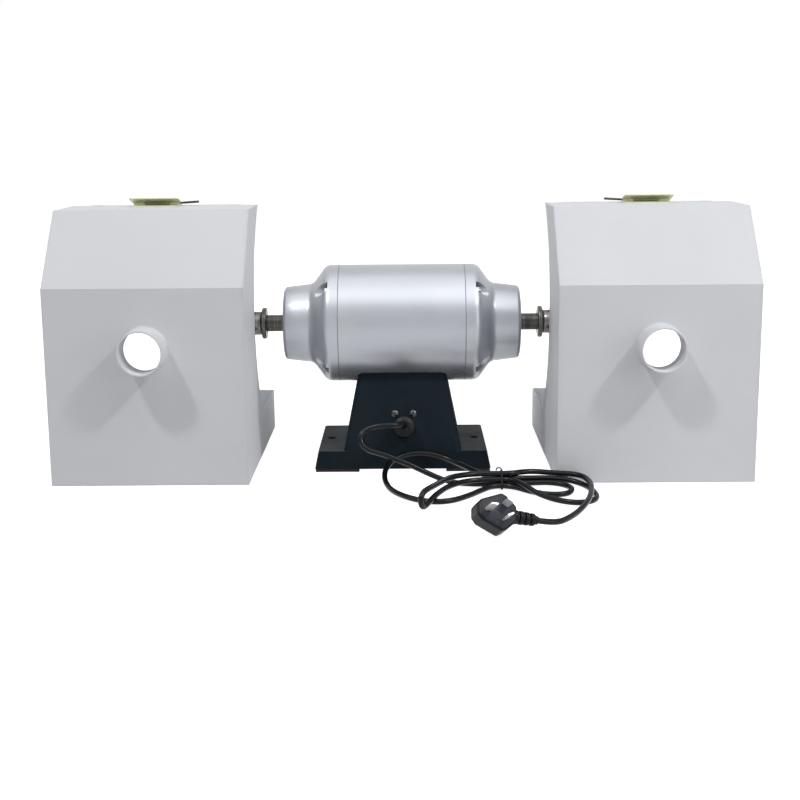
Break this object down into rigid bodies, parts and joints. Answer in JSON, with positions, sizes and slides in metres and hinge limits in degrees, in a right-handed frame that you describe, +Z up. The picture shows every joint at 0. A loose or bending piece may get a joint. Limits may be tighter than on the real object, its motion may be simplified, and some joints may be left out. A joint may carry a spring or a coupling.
{
  "type": "dental polishing lathe",
  "caption": "Double-ended polishing motor on a black pedestal with a tapered spindle at each end, each inside a free-standing light grey dust hood with a duct spigot.",
  "frame": {"origin": "on the floor, under the middle of the motor, midway between the two bench bolt holes", "axes": "+X along the motor's spindles, +Y towards the operator, +Z up"},
  "size_m": [0.8876, 0.5913, 0.3525],
  "materials": {
    "silver_paint": "satin silver paint",
    "zinc_steel": "zinc plated",
    "core_steel": "laminated electrical steel",
    "copper": "enamelled copper wire",
    "cast_aluminium": "cast",
    "turned_steel": "turned",
    "black_steel": "black oxide",
    "black_rubber": "matte",
    "black_paint": "fine-textured black paint",
    "black_plastic": "moulded",
    "cream_plastic": "moulded",
    "dial_metal": "printed with plain numbers",
    "cord_pvc": "soft semi-gloss",
    "plug_plastic": "moulded",
    "nickel": "nickel plated",
    "hood_paint": "smooth light grey powder coat",
    "yellow_zinc": "yellow passivated zinc",
    "clear_acrylic": "clear acrylic sheet"
  },
  "bodies": {
    "base": {"motor_shell": "silver_paint", "end_bell_left": "silver_paint", "end_bell_right": "silver_paint", "through_bolts": "zinc_steel", "stator_core": "core_steel", "stator_windings": "copper", "bearing_outer_races": "turned_steel", "shaft_seals": "black_rubber", "pedestal": "black_paint", "foot_pads": "black_rubber", "bottom_plate": "zinc_steel", "bottom_plate_screws": "zinc_steel", "motor_mount_screws": "zinc_steel", "capacitor": "cast_aluminium", "capacitor_clamp": "zinc_steel", "terminal_block": "cream_plastic", "switch_body": "black_plastic", "dial_plate": "dial_metal", "cord_gland": "black_plastic", "gland_nut": "black_plastic", "rear_screws": "zinc_steel", "mains_cord": "cord_pvc", "cord_tie": "cord_pvc", "plug_body": "plug_plastic", "plug_boot": "cord_pvc", "plug_blades": "nickel"},
    "rotor": {"motor_shaft": "turned_steel", "rotor_core": "core_steel", "rotor_end_rings": "cast_aluminium", "bearing_inner_races": "turned_steel", "bearing_balls": "turned_steel", "spindle_flanges": "turned_steel", "spindle_left": "turned_steel", "spindle_right": "turned_steel", "spindle_set_screws": "black_steel"},
    "switch_knob": {"speed_knob": "black_plastic", "switch_spindle": "turned_steel"},
    "left_hood": {"left_hood_shell": "hood_paint", "left_hood_tray": "hood_paint", "left_hood_inner_side": "hood_paint", "left_hood_outer_side": "hood_paint", "left_duct_spigot": "hood_paint", "left_hinge_leaf": "yellow_zinc", "left_hinge_pin": "zinc_steel", "left_hinge_screws": "zinc_steel"},
    "right_hood": {"right_hood_shell": "hood_paint", "right_hood_tray": "hood_paint", "right_hood_inner_side": "hood_paint", "right_hood_outer_side": "hood_paint", "right_duct_spigot": "hood_paint", "right_hinge_leaf": "yellow_zinc", "right_hinge_pin": "zinc_steel", "right_hinge_screws": "zinc_steel"},
    "left_shield": {"left_shield_arm": "yellow_zinc", "left_shield": "clear_acrylic"},
    "right_shield": {"right_shield_arm": "yellow_zinc", "right_shield": "clear_acrylic"}
  },
  "joints": [
    {"name": "rotor_spin", "type": "hinge", "parent": "base", "child": "rotor", "pos_m": [0, 0, 0.186], "axis": [1, 0, 0], "continuous": true},
    {"name": "speed_switch_turn", "type": "hinge", "parent": "base", "child": "switch_knob", "pos_m": [0, 0.0673, 0.068], "axis": [0, 0.9597, 0.2809], "range_deg": [-60, 60]},
    {"name": "left_hood_slide", "type": "slide", "parent": "base", "child": "left_hood", "axis": [-1, 0, 0], "range_m": [0, 0.14]},
    {"name": "left_shield_tilt", "type": "hinge", "parent": "left_hood", "child": "left_shield", "pos_m": [-0.3288, 0.044, 0.3443], "axis": [1, 0, 0], "range_deg": [-25, 15]},
    {"name": "right_hood_slide", "type": "slide", "parent": "base", "child": "right_hood", "axis": [1, 0, 0], "range_m": [0, 0.14]},
    {"name": "right_shield_tilt", "type": "hinge", "parent": "right_hood", "child": "right_shield", "pos_m": [0.3288, 0.044, 0.3443], "axis": [1, 0, 0], "range_deg": [-25, 15]}
  ]
}
